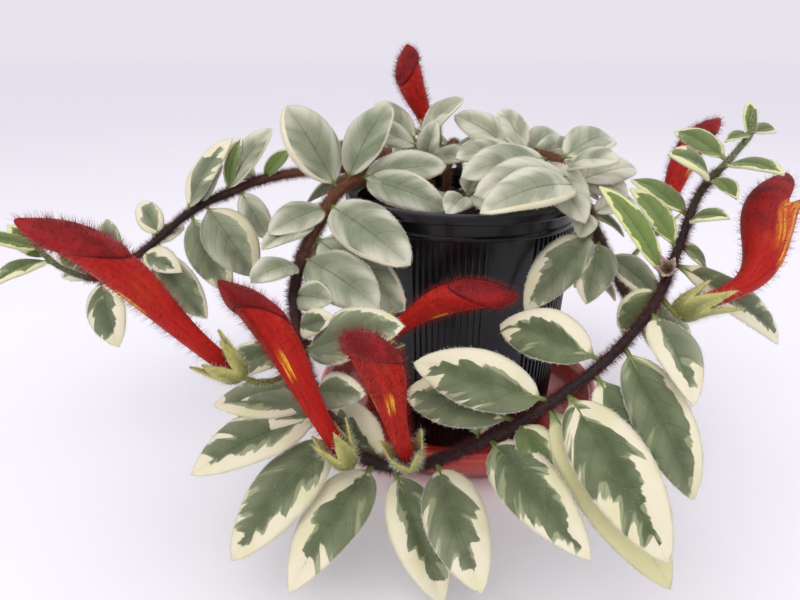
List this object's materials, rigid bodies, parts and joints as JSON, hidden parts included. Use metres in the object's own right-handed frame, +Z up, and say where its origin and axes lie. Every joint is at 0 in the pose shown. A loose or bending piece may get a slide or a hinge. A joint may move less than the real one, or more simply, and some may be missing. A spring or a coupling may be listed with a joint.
{
  "type": "potted variegated columnea",
  "caption": "Trailing house plant with cream-edged leaves and hooded scarlet flowers on hairy stems, in a ribbed round pot that stands in a shallow saucer.",
  "frame": {"origin": "middle of the saucer's flat underside, on the pot's axis", "axes": "+Z up along the pot's axis, -Y the side that the long front stem loops across, +X to the right as seen from there"},
  "size_m": [0.2811, 0.2423, 0.1622],
  "materials": {
    "saucer": "glossy",
    "pot": "soft sheen",
    "potting_mix": "rough, loose fibres and bark",
    "leafy_stem": "satin, finely hairy",
    "corolla": "soft, hairy",
    "calyx": "soft, hairy"
  },
  "bodies": {
    "root": {"saucer": "saucer", "pot": "pot", "potting_mix": "potting_mix", "front_stem": "leafy_stem", "left_stem": "leafy_stem", "right_stem": "leafy_stem", "crown_stem": "leafy_stem", "crown_low_stem": "leafy_stem", "back_stem": "leafy_stem", "back_left_stem": "leafy_stem", "back_right_stem": "leafy_stem", "corolla_far_left": "corolla", "corolla_front_left": "corolla", "corolla_front_facing": "corolla", "corolla_front_middle": "corolla", "corolla_back_upright": "corolla", "corolla_right_open": "corolla", "corolla_back_right": "corolla", "calyx_far_left": "calyx", "calyx_front_left": "calyx", "calyx_front_facing": "calyx", "calyx_front_middle": "calyx", "calyx_back_upright": "calyx", "calyx_right_open": "calyx", "calyx_back_right": "calyx"}
  },
  "joints": []
}
